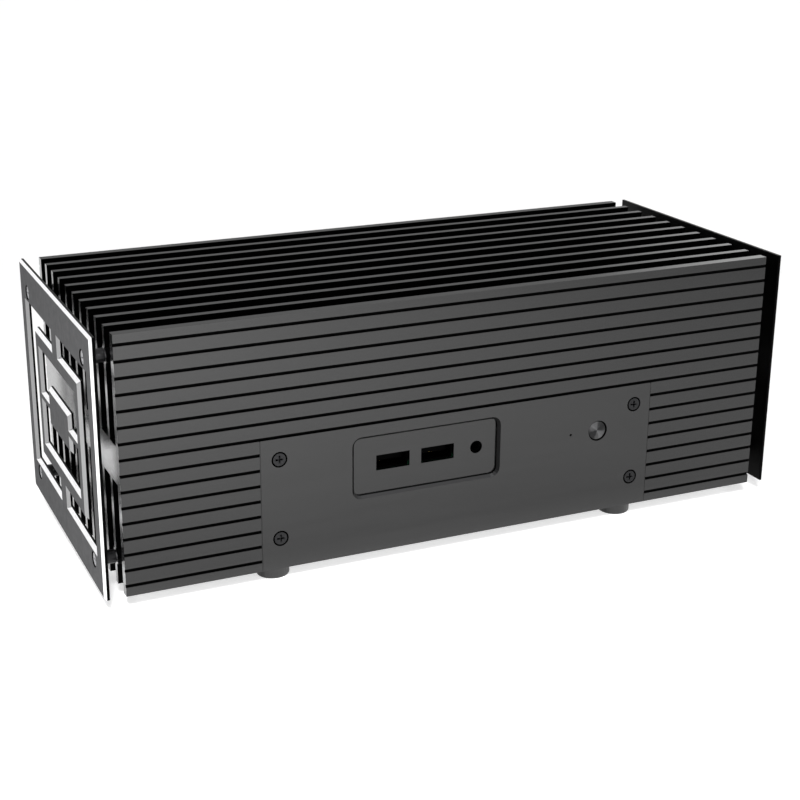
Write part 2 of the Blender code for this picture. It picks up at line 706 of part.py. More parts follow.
def tact_switch(look):
    """The switch body, with a bore deep enough for the plunger's travel."""
    back = BUTTON_BOARD_FRONT - GAP
    low = (BUTTON_X - SWITCH_HALF, back - SWITCH_DEPTH, BUTTON_Z - SWITCH_HALF)
    high = (BUTTON_X + SWITCH_HALF, back, BUTTON_Z + SWITCH_HALF)
    body = add("tact_switch", mesh_of("tact_switch", block(bmesh.new(), low, high)), look)
    bore_depth = 2 * BUTTON_TRAVEL + 4 * GAP
    place = at(BUTTON_X, back - SWITCH_DEPTH, BUTTON_Z, TO_FRONT)
    cut(body, drill(PLUNGER_RADIUS + GAP, -bore_depth, CUT_OVERRUN, place, 16))


def button_board(look):
    half_x, half_z = BUTTON_BOARD_HALF
    back, z = BUTTON_BOARD_FRONT + BUTTON_BOARD_THICKNESS, BUTTON_Z + BUTTON_BOARD_RISE
    low = (BUTTON_BOARD_X - half_x, BUTTON_BOARD_FRONT, z - half_z)
    high = (BUTTON_BOARD_X + half_x, back, z + half_z)
    board = add("button_board", mesh_of("button_board", block(bmesh.new(), low, high)), look)
    holes = []
    for x in stud_places():
        place = at(x, BUTTON_BOARD_FRONT, BUTTON_Z + STUD_RISE, TO_FRONT)
        holes.append(drill(STUD_HOLE_RADIUS, -CUT_OVERRUN, CUT_OVERRUN, place))
    cut(board, *holes)


def status_light(look):
    """A round-topped light behind the pinhole, with a rim where it meets its board."""
    base = -(BUTTON_BOARD_FRONT - FRONT) + GAP
    tip = -PANEL_THICKNESS - GAP
    radius, rim, rim_top = LIGHT_BODY_RADIUS, LIGHT_BODY_RADIUS + LIGHT_RIM, base + LIGHT_RIM_HEIGHT
    steps = 4
    profile = [(rim, base), (rim, rim_top), (radius, rim_top)]
    for step in range(steps):
        angle = math.radians(80) * step / (steps - 1)
        profile.append((radius * math.cos(angle), tip - radius + radius * math.sin(angle)))
    light = turned(bmesh.new(), profile, 16)
    add("status_light", mesh_of("status_light", light), look, at(LIGHT_X, FRONT, BUTTON_Z, TO_FRONT))


def button_lead(look):
    """The lead from the button's board back to the header on the main board."""
    start = Vector((BUTTON_BOARD_X, BUTTON_BOARD_FRONT + BUTTON_BOARD_THICKNESS + GAP, BUTTON_Z + 0.0020))
    end = Vector((0.0440, -0.0300, BOARD_TOP + GAP))
    bends = (start + Vector((0, 0.0060, 0)), end + Vector((0, 0, 0.0070)))
    points = []
    for i in range(LEAD_STEPS + 1):
        t = i / LEAD_STEPS
        point = start * (1 - t) ** 3 + bends[0] * 3 * t * (1 - t) ** 2
        points.append(point + bends[1] * 3 * t * t * (1 - t) + end * t ** 3)
    curve = bpy.data.curves.new("button_lead", "CURVE")
    curve.dimensions = "3D"
    curve.bevel_depth = LEAD_RADIUS
    curve.bevel_resolution = 1
    curve.use_fill_caps = True
    spline = curve.splines.new("POLY")
    spline.points.add(LEAD_STEPS)
    for spot, point in zip(spline.points, points):
        spot.co = (*point, 1.0)
    curve.materials.append(look)
    bpy.context.scene.collection.objects.link(bpy.data.objects.new("button_lead", curve))


# Circuit board and what sits on it. Half sizes are (half_x, half_y), and drops are below the board.

PROCESSOR_CARRIER = (0.0175, 0.0125)
PROCESSOR_DIE = (0.0080, 0.0060)
CARRIER_THICKNESS = 0.0012
DIE_THICKNESS = 0.0008
HEAT_BLOCK_FOOT = (0.0200, 0.0150)
HEAT_BLOCK_HEAD = (0.0340, 0.0290)
HEAT_BLOCK_SHOULDER = 0.0130
SOCKET_HALF_LENGTH = 0.0360
SOCKET_BACK = 0.0165
SOCKET_FRONT = 0.0105
SOCKET_HEIGHT = 0.0050
SLOT_BACK = 0.0145
SLOT_DROPS = (0.0034, 0.0016)
MODULE_HALF = (0.0348, 0.0150)
MODULE_CHIPS_HALF = (0.0300, 0.0090)
CHIP_THICKNESS = 0.0006
CARD_DROP = 0.0028
CARD_THICKNESS = 0.0008
CARD_CHIP_THICKNESS = 0.0014
CARDS = {
    "storage_card": ((0.0400, 0.0110), (0.0, -0.0340)),
    "wireless_card": ((0.0150, 0.0110), (-0.0280, 0.0330)),
}


def motherboard(look):
    half = BOARD_SIZE / 2
    low, high = (-half, -half, BOARD_UNDERSIDE), (half, half, BOARD_TOP)
    board = add("motherboard", mesh_of("motherboard", block(bmesh.new(), low, high)), look)
    holes = []
    for sx in (-1, 1):
        for sy in (-1, 1):
            place = at(sx * BOARD_POST, sy * BOARD_POST, BOARD_TOP)
            holes.append(drill(BORE_RADIUS, -CUT_OVERRUN, CUT_OVERRUN, place))
    cut(board, *holes)


def processor(look, block_look):
    """The processor, and the block that carries its heat up to the web."""
    base = BOARD_TOP + GAP
    carrier_top = base + CARRIER_THICKNESS
    die_top = carrier_top + DIE_THICKNESS
    levels = [(*PROCESSOR_CARRIER, base), (*PROCESSOR_CARRIER, carrier_top)]
    levels += [(*PROCESSOR_DIE, carrier_top), (*PROCESSOR_DIE, die_top)]
    add("processor", mesh_of("processor", stepped(bmesh.new(), levels)), look)
    foot, shoulder, ceiling = die_top + GAP, BOARD_TOP + HEAT_BLOCK_SHOULDER, POCKET_CEILING - GAP
    levels = [(*HEAT_BLOCK_FOOT, foot), (*HEAT_BLOCK_FOOT, shoulder)]
    levels += [(*HEAT_BLOCK_HEAD, shoulder), (*HEAT_BLOCK_HEAD, ceiling)]
    add("heat_block", mesh_of("heat_block", stepped(bmesh.new(), levels)), block_look)


def memory(socket_look, board_look):
    """A memory module in its socket, under the board."""
    top = BOARD_UNDERSIDE - GAP
    back, front, low = SOCKET_BACK, SOCKET_FRONT, top - SOCKET_HEIGHT
    slot_low, slot_high = (top - drop for drop in SLOT_DROPS)
    outline = [(back, low), (back, top), (front, top), (front, slot_high)]
    outline += [(SLOT_BACK, slot_high), (SLOT_BACK, slot_low), (front, slot_low), (front, low)]
    ends = (-SOCKET_HALF_LENGTH, SOCKET_HALF_LENGTH)
    bm = skin(bmesh.new(), [[(x, y, z) for y, z in outline] for x in ends])
    add("memory_socket", mesh_of("memory_socket", bm), socket_look)
    center = (0.0, SLOT_BACK - GAP - MODULE_HALF[1])
    levels = [(*MODULE_CHIPS_HALF, slot_low - CHIP_THICKNESS), (*MODULE_CHIPS_HALF, slot_low + GAP)]
    levels += [(*MODULE_HALF, slot_low + GAP), (*MODULE_HALF, slot_high - GAP)]
    add("memory_module", mesh_of("memory_module", stepped(bmesh.new(), levels, center)), board_look)


def cards(look):
    """The storage and wireless cards, which lie flat under the board."""
    top = BOARD_UNDERSIDE - CARD_DROP
    under = top - CARD_THICKNESS
    for name, ((half_x, half_y), center) in CARDS.items():
        chips = (0.7 * half_x, 0.8 * half_y)
        levels = [(*chips, under - CARD_CHIP_THICKNESS), (*chips, under)]
        levels += [(half_x, half_y, under), (half_x, half_y, top)]
        add(name, mesh_of(name, stepped(bmesh.new(), levels, center)), look)


def square_port(name, side, center, size, cavity, look, tongue=None):
    """A port whose mouth is just behind its shield. Size and cavity are (width, height, depth)."""
    width, height, depth = size
    place = at(center[0], side * -(SHIELD_BACK + GAP), center[1], TO_REAR if side > 0 else TO_FRONT)
    bm = prism(bmesh.new(), rectangle(width / 2, height / 2), -depth, 0.0)
    body = add(name, mesh_of(name, bm), look, place)
    hollow = prism(bmesh.new(), rectangle(cavity[0] / 2, cavity[1] / 2), -cavity[2], CUT_OVERRUN)
    cut(body, moved(hollow, place))
    if tongue:
        root = -cavity[2] - (depth - cavity[2]) / 2
        blade = prism(bmesh.new(), rectangle(tongue[0] / 2, tongue[1] / 2), root, -TONGUE_SETBACK)
        join(body, moved(blade, place))


def round_port(name, side, center, size, bore, look, pin_radius=None):
    """A round jack in a square housing, with a centre pin if it takes a power plug."""
    width, height, depth = size
    bore_radius, bore_depth = bore
    place = at(center[0], side * -(SHIELD_BACK + GAP), center[1], TO_REAR if side > 0 else TO_FRONT)
    bm = prism(bmesh.new(), rectangle(width / 2, height / 2), -depth, 0.0)
    body = add(name, mesh_of(name, bm), look, place)
    cut(body, drill(bore_radius, -bore_depth, CUT_OVERRUN, place, 20))
    if pin_radius:
        root = -bore_depth - (depth - bore_depth) / 2
        join(body, drill(pin_radius, root, -TONGUE_SETBACK, place, 10))


def on_board(height):
    """The height of the middle of a port that stands on the board."""
    return BOARD_TOP + GAP + height / 2


def front_ports(metal, plastic, shield_look):
    openings = []
    for number, x in enumerate(USB_XS, 1):
        name = f"front_usb_port_{number}"
        square_port(name, -1, (x, PORT_Z), USB_SIZE, USB_CAVITY, metal, USB_TONGUE)
        openings.append((x, PORT_Z, *USB_OPENING))
    round_port("audio_jack", -1, (AUDIO_X, PORT_Z), AUDIO_SIZE, AUDIO_BORE, plastic)
    openings.append((AUDIO_X, PORT_Z, 2 * AUDIO_OPENING_RADIUS, 2 * AUDIO_OPENING_RADIUS))
    port_shield("front_port_shield", -1, FRONT_WINDOW_X, FRONT_WINDOW_WIDTH, openings, shield_look)


def rear_ports(metal, plastic, shield_look):
    power = (POWER_X, on_board(POWER_SIZE[1]))
    video = (VIDEO_X, on_board(VIDEO_SIZE[1]))
    network = (NETWORK_X, on_board(NETWORK_SIZE[1]))
    usb = (REAR_USB_X, on_board(USB_SIZE[1]))
    round_port("rear_power_jack", 1, power, POWER_SIZE, POWER_BORE, plastic, POWER_PIN_RADIUS)
    square_port("rear_video_port", 1, video, VIDEO_SIZE, VIDEO_CAVITY, metal, VIDEO_TONGUE)
    square_port("rear_network_port", 1, network, NETWORK_SIZE, NETWORK_CAVITY, metal)
    square_port("rear_usb_port", 1, usb, USB_SIZE, USB_CAVITY, metal, USB_TONGUE)
    power_width = 2 * (POWER_BORE[0] + POWER_CLEARANCE)
    openings = [(*power, power_width, power_width)]
    for center, size in ((video, VIDEO_SIZE), (network, NETWORK_SIZE), (usb, USB_SIZE)):
        openings.append((*center, size[0] + PORT_CLEARANCE, size[1] + PORT_CLEARANCE))
    port_shield("rear_port_shield", 1, 0.0, REAR_WINDOW_WIDTH, openings, shield_look)


def build():
    clear_scene()
    anodised = material("anodised_black", (0.050, 0.050, 0.053), 0.6, 0.50)
    steel = material("plated_steel", (0.62, 0.62, 0.64), 1.0, 0.35)
    dark_steel = material("blackened_steel", (0.060, 0.060, 0.065), 0.8, 0.40)
    spun = material("spun_aluminium", (0.30, 0.30, 0.31), 1.0, 0.30)
    bare = material("bare_aluminium", (0.75, 0.76, 0.78), 1.0, 0.35)
    rubber = material("black_rubber", (0.020, 0.020, 0.020), 0.0, 0.70)
    laminate = material("circuit_laminate", (0.020, 0.110, 0.060), 0.0, 0.45)
    plastic = material("black_plastic", (0.020, 0.020, 0.022), 0.0, 0.45)
    lens = material("clear_lens", (0.70, 0.75, 0.80), 0.0, 0.15)

    heatsink(anodised)
    end_plate("left_end_plate", -1, anodised)
    end_plate("right_end_plate", 1, anodised)
    end_fasteners(dark_steel)
    tray(dark_steel)
    feet(rubber, steel)
    panel_screws(dark_steel)
    front = port_panel("front_panel", -1, FRONT_WINDOW_X, FRONT_WINDOW_WIDTH, anodised, button_openings())
    button_studs(front)
    port_panel("rear_panel", 1, 0.0, REAR_WINDOW_WIDTH, anodised)

    power_button(spun, plastic)
    tact_switch(plastic)
    button_board(laminate)
    status_light(lens)
    button_lead(plastic)
    motherboard(laminate)
    processor(plastic, bare)
    memory(plastic, laminate)
    cards(laminate)
    front_ports(dark_steel, plastic, anodised)
    rear_ports(steel, plastic, anodised)


build()
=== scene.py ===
"""The finished look of the fanless mini PC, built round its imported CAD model.

Every CAD node keeps its shape and gets a procedural material. Pieces too fine for the CAD model are
added here: the fillers in the panel seams and the contacts in the ports. Lengths are in metres, in the
frame of the CAD model: +X runs along the fins, -Y is the front and Z is 0 under the feet.
"""

import json
import math

import bmesh
import bpy
from mathutils import Matrix, Vector


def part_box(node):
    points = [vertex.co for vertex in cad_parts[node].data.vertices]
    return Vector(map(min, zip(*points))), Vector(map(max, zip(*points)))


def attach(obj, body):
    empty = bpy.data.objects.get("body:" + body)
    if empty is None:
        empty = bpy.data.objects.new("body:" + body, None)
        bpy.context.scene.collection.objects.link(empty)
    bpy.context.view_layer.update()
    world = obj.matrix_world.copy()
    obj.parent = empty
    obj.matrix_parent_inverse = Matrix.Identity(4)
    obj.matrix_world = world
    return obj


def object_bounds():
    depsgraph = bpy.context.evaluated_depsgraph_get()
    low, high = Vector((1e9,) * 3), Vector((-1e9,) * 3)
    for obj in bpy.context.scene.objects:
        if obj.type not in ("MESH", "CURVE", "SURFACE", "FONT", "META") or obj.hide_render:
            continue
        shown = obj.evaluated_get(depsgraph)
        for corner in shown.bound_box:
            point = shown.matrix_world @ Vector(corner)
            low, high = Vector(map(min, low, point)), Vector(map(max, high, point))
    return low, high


# Camera: where it stands, the way it looks, and how far the picture is shifted off its axis.
CAMERA_PLACE = (-0.2451, -0.5306, 0.2489)
CAMERA_AZIMUTH = -23.40
CAMERA_ELEVATION = 18.81
CAMERA_LENS = 69.18
CAMERA_SENSOR = 36.0
CAMERA_SHIFT = (0.0423, -0.0239)

# Light: a soft lamp in front on the left, which makes a pool of light on the floor before the object, a
# lit table under the object, and a white surround with a dimmer card and a brighter one behind. Azimuths
# run from +Y towards +X. The table's glow fades between two margins round the object, along X and Y.
KEY_PLACE = (-0.45, -1.00, 1.00)
KEY_TARGET = (-0.20, -0.46, 0.0)
KEY_SIZE = (0.24, 0.20)
KEY_POWER = 3.4
KEY_SPREAD = 46.0
FLOOR_REACH = 30.0
FLOOR_WHITE = 0.93
FLOOR_ROUGH = 0.9
TABLE_GLOW = 0.66
TABLE_EDGE = ((-0.015, 0.008), (0.002, 0.026))
SURROUND = 1.10
DIM_CARD = -0.74
BRIGHT_CARD = 0.60
DIM_CARD_EDGES = (-10.0, 3.0, 32.0, 40.0)
BRIGHT_CARD_EDGES = (32.0, 40.0, 56.0, 68.0)
CARD_TOP = (0.30, 0.55)

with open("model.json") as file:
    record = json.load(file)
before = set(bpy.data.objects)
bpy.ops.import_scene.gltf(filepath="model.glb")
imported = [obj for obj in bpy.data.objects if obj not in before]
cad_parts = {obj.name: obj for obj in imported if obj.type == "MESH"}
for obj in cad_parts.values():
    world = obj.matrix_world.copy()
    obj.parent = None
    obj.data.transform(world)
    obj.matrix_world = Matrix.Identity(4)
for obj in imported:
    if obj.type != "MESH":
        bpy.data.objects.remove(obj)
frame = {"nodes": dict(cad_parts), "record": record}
cad_low, cad_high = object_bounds()

BODY_LOW, BODY_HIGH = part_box("main_heatsink")
BODY_FACE = BODY_HIGH[1]
BODY_MIDDLE = (BODY_LOW[2] + BODY_HIGH[2]) / 2
BODY_HALF_HEIGHT = (BODY_HIGH[2] - BODY_LOW[2]) / 2

# A surface that lies deeper than this under the body's outer faces is in a groove or a channel.
SKIN = 0.0001


# Materials


class Nodes:
    """Adds shader nodes to one material, with their inputs linked or set by name."""

    def __init__(self, name):
        self.material = bpy.data.materials.new(name)
        self.material.use_nodes = True
        self.tree = self.material.node_tree
        self.shader = self.tree.nodes["Principled BSDF"]

    def add(self, kind, inputs=(), **settings):
        node = self.tree.nodes.new(kind)
        for key, value in settings.items():
            setattr(node, key, value)
        for key, value in dict(inputs).items():
            self.put(node.inputs[key], value)
        return node

    def put(self, socket, value):
        if isinstance(value, bpy.types.NodeSocket):
            self.tree.links.new(value, socket)
        else:
            socket.default_value = value

    def surface(self, **inputs):
        for key, value in inputs.items():
            self.put(self.shader.inputs[key.replace("_", " ")], value)

    def position(self, scale, offset=(0.0, 0.0, 0.0)):
        """Object coordinates, moved by an offset and stretched by a scale along each axis."""
        place = self.add("ShaderNodeTexCoord").outputs["Object"]
        shifted = self.add("ShaderNodeVectorMath", {0: place, 1: offset}, operation="ADD").outputs[0]
        return self.add("ShaderNodeMapping", {"Vector": shifted, "Scale": scale}).outputs["Vector"]

    def split(self, vector):
        """The three components of a vector."""
        return list(self.add("ShaderNodeSeparateXYZ", {"Vector": vector}).outputs)

    def place(self):
        return self.split(self.add("ShaderNodeTexCoord").outputs["Object"])

    def facing(self):
        """The direction that the flat face points in, without any bump."""
        return self.split(self.add("ShaderNodeNewGeometry").outputs["True Normal"])

    def noise(self, scale, detail=3.0, roughness=0.55, size=1.0):
        inputs = {"Vector": self.position(scale), "Scale": size, "Detail": detail, "Roughness": roughness}
        return self.add("ShaderNodeTexNoise", inputs).outputs["Fac"]

    def ranged(self, value, low, high, start=0.0, end=1.0):
        inputs = {"Value": value, "From Min": start, "From Max": end, "To Min": low, "To Max": high}
        return self.add("ShaderNodeMapRange", inputs).outputs["Result"]

    def math(self, operation, first, second=0.0):
        return self.add("ShaderNodeMath", {0: first, 1: second}, operation=operation).outputs[0]

    def product(self, *factors):
        result = factors[0]
        for factor in factors[1:]:
            result = self.math("MULTIPLY", result, factor)
        return result

    def above(self, value, limit):
        return self.math("GREATER_THAN", value, limit)

    def below(self, value, limit):
        return self.math("LESS_THAN", value, limit)

    def blend(self, amount, first, second):
        """Moves a number from first to second as the amount goes from 0 to 1."""
        return self.add("ShaderNodeMix", {0: amount, 2: first, 3: second}).outputs[0]

    def mixed(self, amount, first, second):
        """The same for a colour."""
        return self.add("ShaderNodeMix", {0: amount, 6: first, 7: second}, data_type="RGBA").outputs[2]

    def bumped(self, height, distance, strength=1.0):
        inputs = {"Height": height, "Distance": distance, "Strength": strength}
        return self.add("ShaderNodeBump", inputs).outputs["Normal"]


class WorldNodes(Nodes):
    """The same for the surround."""

    def __init__(self, name):
        self.world = bpy.data.worlds.new(name)
        self.world.use_nodes = True
        self.tree = self.world.node_tree
        self.shader = self.tree.nodes["Background"]


def gray(value, tint=1.02):
    """A gray with its blue scaled by a tint."""
    return (value, value, value * tint, 1.0)


# The part of the noise's range that most of its values fall in.
NOISE_SPAN = (0.3, 0.7)

# How far a face must point along an axis to count as square to it, or as a slope between two axes.
SQUARE = 0.95
SLOPE = 0.65
TILTED = 0.3

# Anodised and bare aluminium. A stretch is the density of the noise along each axis.
ANODISED_TONES = (gray(0.0022), gray(0.0042))
MATT_TONES = (gray(0.080), gray(0.096))
ANODISED_ROUGH = (0.16, 0.24)
MATT_ROUGH = (0.50, 0.60)
# Painted shade: a near-black metal for grooves, channels, holes, edges and inner faces that lie in shade.
SHADOW_BLACK = gray(0.0015)
SHADOW_ROUGH = 0.5
BARE_DARK = gray(0.80, 1.01)
BARE_LIGHT = gray(0.92, 1.01)
BARE_ROUGH = (0.14, 0.24)
# Painted shade: bare metal darkened where it lies in shade, on the sawn ends behind the end plates and on
# the upright chamfers of the cut-outs.
BARE_IN_PAINTED_SHADE = gray(0.28, 1.01)
SCRATCHED = (300.0, 300.0, 1800.0)
EXTRUDED = (5.0, 1100.0, 1100.0)
ROLLED = (500.0, 300.0, 300.0)
LINED = (30.0, 400.0, 400.0)
GRAIN_DENSITY = 2400.0
STREAK_SHARE = 0.7
BUMP_STRENGTH = 0.6
EXTRUDED_DEPTH = 0.00002
ROLLED_DEPTH = 0.000004
LINED_DEPTH = 0.000006


class Anodised:
    """Black anodised aluminium: its colour, roughness and bump, ready to be varied over one piece."""

    def __init__(self, name, stretch, depth, tones=ANODISED_TONES, rough=ANODISED_ROUGH):
        n = self.n = Nodes(name)
        streak = n.noise(stretch, detail=4.0)
        grain = n.noise((GRAIN_DENSITY,) * 3, detail=2.0)
        amount = n.ranged(streak, 0.0, 1.0, *NOISE_SPAN)
        self.color = n.mixed(amount, *tones)
        self.rough = n.ranged(streak, *rough, *NOISE_SPAN)
        self.metal = 0.0
        streaks = n.math("MULTIPLY", streak, STREAK_SHARE)
        grains = n.math("MULTIPLY", grain, 1.0 - STREAK_SHARE)
        self.normal = n.bumped(n.math("ADD", streaks, grains), depth, BUMP_STRENGTH)

    def change(self, mask, color, rough):
        """Turns the masked part of the surface into metal of another colour."""
        n = self.n
        self.color = n.mixed(mask, self.color, color)
        self.rough = n.blend(mask, self.rough, rough)
        self.metal = n.math("MAXIMUM", mask, self.metal)

    # Painted shade: turns the masked part into near-black metal.
    def paint_shade(self, mask):
        self.change(mask, SHADOW_BLACK, SHADOW_ROUGH)

    def lay_bare(self, mask, shade_amount=0.0):
        """Shows bare metal in the mask, darkened as painted shade where the second mask says so."""
        n = self.n
        scratch = n.noise(SCRATCHED)
        bright = n.mixed(n.ranged(scratch, 0.0, 1.0, *NOISE_SPAN), BARE_DARK, BARE_LIGHT)
        rough = n.ranged(scratch, *BARE_ROUGH, *NOISE_SPAN)
        self.change(mask, n.mixed(shade_amount, bright, BARE_IN_PAINTED_SHADE), rough)

    def finish(self):
        """Links everything to the shader, and gives the material."""
        self.n.surface(Base_Color=self.color, Roughness=self.rough, Metallic=self.metal, Normal=self.normal)
        return self.n.material


def extrusion_finish():
    """The body: near-black painted shade in its grooves and channels, and bare metal where the extrusion is
    sawn off, darkened as painted shade.
    """
    made = Anodised("anodised_extrusion_painted_shade", EXTRUDED, EXTRUDED_DEPTH)
    n = made.n
    y, z = n.place()[1:]
    end = n.above(n.math("ABSOLUTE", n.facing()[0]), SQUARE)
    rise = n.math("ABSOLUTE", n.math("SUBTRACT", z, BODY_MIDDLE))
    # Painted shade: near-black in the grooves and channels.
    made.paint_shade(n.product(
        n.below(n.math("ABSOLUTE", y), BODY_FACE - SKIN), n.below(rise, BODY_HALF_HEIGHT - SKIN)
    ))
    # Painted shade: the sawn ends are bare metal, darkened all over for the shade of the end plates.
    made.lay_bare(end, 1.0)
    return made.finish()


# A chamfer nearer the middle of the plate than this is on a cut-out.
PLATE_RIM_Y = 0.0515


def end_plate_finish():
    """An end plate: near-black painted shade on its edges and inner face, with bright bare chamfers on the
    outer face, darkened as painted shade on the upright chamfers of the cut-outs.
    """
    made = Anodised("anodised_plate_painted_shade", ROLLED, ROLLED_DEPTH, MATT_TONES, MATT_ROUGH)
    n = made.n
    n.shader.inputs["Specular IOR Level"].default_value = 0.0
    x, y = n.place()[:2]
    facing = n.facing()
    outward = n.math("MULTIPLY", facing[0], n.math("SIGN", x))
    # Painted shade: near-black on the edges and the inner face.
    made.paint_shade(n.below(outward, SQUARE))
    upright = n.below(n.math("ABSOLUTE", facing[2]), TILTED)
    inside = n.below(n.math("ABSOLUTE", y), PLATE_RIM_Y)
    chamfer = n.product(n.above(outward, SLOPE), n.below(outward, SQUARE))
    # Painted shade: the upright chamfers of the cut-outs are darker bare metal.
    made.lay_bare(chamfer, n.product(upright, inside))
    return made.finish()


# Painted shade on the window's right wall, and a painted highlight on its upward-facing sill.
WINDOW_RIGHT_PAINTED_SHADE = gray(0.010)
WINDOW_SILL_PAINTED_HIGHLIGHT = gray(0.045)


def panel_finish():
    """A port panel or shield: near-black painted shade in its holes, edges and window chamfers, a dim
    painted shade on the window's right wall, and a paler painted highlight along the window's sill.
    """
    made = Anodised("anodised_panel_painted_shade_and_light", LINED, LINED_DEPTH)
    n = made.n
    facing = n.facing()
    flatness = n.math("ABSOLUTE", facing[1])
    # Painted shade: near-black in the holes, edges and window chamfers.
    made.paint_shade(n.below(flatness, SQUARE))
    slope = n.product(n.above(flatness, SLOPE), n.below(flatness, SQUARE))
    # Painted shade: a dim tone on the window's right wall.
    made.change(n.product(slope, n.below(facing[0], -TILTED)), WINDOW_RIGHT_PAINTED_SHADE, SHADOW_ROUGH)
    # Painted highlight: a paler tone on the window's sill, which faces up.
    sill = n.product(n.above(facing[2], TILTED), n.above(facing[0], -TILTED))
    made.change(n.product(slope, sill), WINDOW_SILL_PAINTED_HIGHLIGHT, SHADOW_ROUGH)
    return made.finish()


SPECKLE_TONES = (0.85, 1.15)
SPECKLE_ROUGH = 0.06
SPECKLE_BUMP = 0.5


def speckled(name, color, metallic, rough, size=1500.0, depth=0.00001):
    """A plain material with fine variation in its colour, gloss and surface."""
    n = Nodes(name)
    grain = n.noise((size,) * 3)
    dark, light = (tuple(min(tone * c, 1.0) for c in color) + (1.0,) for tone in SPECKLE_TONES)
    n.surface(
        Base_Color=n.mixed(n.ranged(grain, 0.0, 1.0, *NOISE_SPAN), dark, light),
        Metallic=metallic,
        Roughness=n.ranged(grain, rough - SPECKLE_ROUGH, rough + SPECKLE_ROUGH, *NOISE_SPAN),
        Normal=n.bumped(grain, depth, SPECKLE_BUMP),
    )
    return n.material


SPUN_DARK_SHADE_AND_WEAR = gray(0.022)
SPUN_HIGHLIGHT_AND_WEAR = gray(0.115)
SPUN_TONE_SPAN = (-0.6, 1.2)
SPUN_HIGHLIGHT_AT = 128.0
SPUN_HIGHLIGHT_FANS = 2.0
SPUN_RIPPLES = 9.0
SPUN_RIPPLE_SHARE = 0.18
SPUN_RING_PITCH = 0.00015
SPUN_RING_SHARE = 0.12
SPUN_RING_DEPTH = 0.000003
SPUN_WEAR_DENSITY = 700.0
SPUN_WEAR_SHARE = 0.3
SPUN_ROUGH = (0.30, 0.40)
SPUN_ANISOTROPY = 0.7


def spun_painted_highlight():
    """Metal turned on a lathe: fine rings round the button's axis, with a painted highlight in two opposite
    bright fans and painted shade between them.
    """
    low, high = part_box("power_button")
    center = [-(a + b) / 2 for a, b in zip(low, high)]
    n = Nodes("spun_aluminium_painted_highlight")
    spot = n.position((1.0, 0.0, 1.0), (center[0], 0.0, center[2]))
    x, _, z = n.split(spot)
    radius = n.add("ShaderNodeVectorMath", {0: spot}, operation="LENGTH").outputs["Value"]
    turn = n.math("SUBTRACT", n.math("ARCTAN2", z, x), math.radians(SPUN_HIGHLIGHT_AT))
    # Painted highlight: two opposite bright fans, with painted shade between them, set by the angle round
    # the button's axis.
    highlight_fan = n.math("COSINE", n.math("MULTIPLY", turn, SPUN_HIGHLIGHT_FANS))
    ring = n.math("SINE", n.math("MULTIPLY", radius, math.tau / SPUN_RING_PITCH))
    ripple = n.math("SINE", n.math("MULTIPLY", turn, SPUN_RIPPLES))
    wear = n.noise((SPUN_WEAR_DENSITY,) * 3, detail=4.0)
    # The tone is the painted highlight and shade plus angular ripples, rings and random wear.
    tone = n.math("ADD", highlight_fan, n.math("MULTIPLY", ripple, SPUN_RIPPLE_SHARE))
    tone = n.math("ADD", tone, n.math("MULTIPLY", ring, SPUN_RING_SHARE))
    tone = n.math("ADD", tone, n.ranged(wear, -SPUN_WEAR_SHARE, SPUN_WEAR_SHARE, *NOISE_SPAN))
    tangent = n.add("ShaderNodeTangent", direction_type="RADIAL", axis="Y").outputs["Tangent"]
    n.surface(
        Base_Color=n.mixed(n.ranged(tone, 0.0, 1.0, *SPUN_TONE_SPAN), SPUN_DARK_SHADE_AND_WEAR, SPUN_HIGHLIGHT_AND_WEAR),
        Metallic=1.0,
        Roughness=n.ranged(wear, *SPUN_ROUGH, *NOISE_SPAN),
        Anisotropic=SPUN_ANISOTROPY,
        Tangent=tangent,
        Normal=n.bumped(ring, SPUN_RING_DEPTH, BUMP_STRENGTH),
    )
    return n.material


FINISHES = {
    "anodised_black": panel_finish(),
    "plated_steel": speckled("plated_steel_finish", (0.62, 0.62, 0.64), 1.0, 0.32),
    "blackened_steel": speckled("blackened_steel_finish", (0.027, 0.027, 0.028), 1.0, 0.36),
    "spun_aluminium": spun_painted_highlight(),
    "bare_aluminium": speckled("bare_aluminium_finish", (0.75, 0.76, 0.78), 1.0, 0.35),
    "black_rubber": speckled("black_rubber_finish", (0.008, 0.008, 0.008), 0.0, 0.38, depth=0.00003),
    "circuit_laminate": speckled("circuit_laminate_finish", (0.01, 0.07, 0.035), 0.0, 0.40, size=700.0),
    "black_plastic": speckled("black_plastic_finish", (0.01, 0.01, 0.011), 0.0, 0.45),
    "clear_lens": speckled("smoked_lens_finish", (0.012, 0.012, 0.013), 0.0, 0.20),
}
# Painted shade: the front ports' shells are near-black, standing for the shade deep in their openings.
PORT_SHADE_BLACK = speckled("port_painted_shade", (0.0015, 0.0015, 0.0015), 1.0, 0.45)
END_SCREW = speckled("zinc_screw_finish", (0.28, 0.28, 0.29), 1.0, 0.30)
SPECIAL = {
    "main_heatsink": extrusion_finish(),
    "left_end_plate": end_plate_finish(),
    "front_usb_port_1": PORT_SHADE_BLACK,
    "front_usb_port_2": PORT_SHADE_BLACK,
    "audio_jack": PORT_SHADE_BLACK,
}
SPECIAL["right_end_plate"] = SPECIAL["left_end_plate"]
for side in ("left", "right"):
    for number in range(1, 5):
        SPECIAL[f"{side}_end_screw_{number}"] = END_SCREW
for row in frame["record"]["subparts"]:
    name = row["node"]
    materials = frame["nodes"][name].data.materials
    materials.clear()
    materials.append(SPECIAL.get(name) or FINISHES[row["material_slot"]])


# Pieces too fine for the CAD model


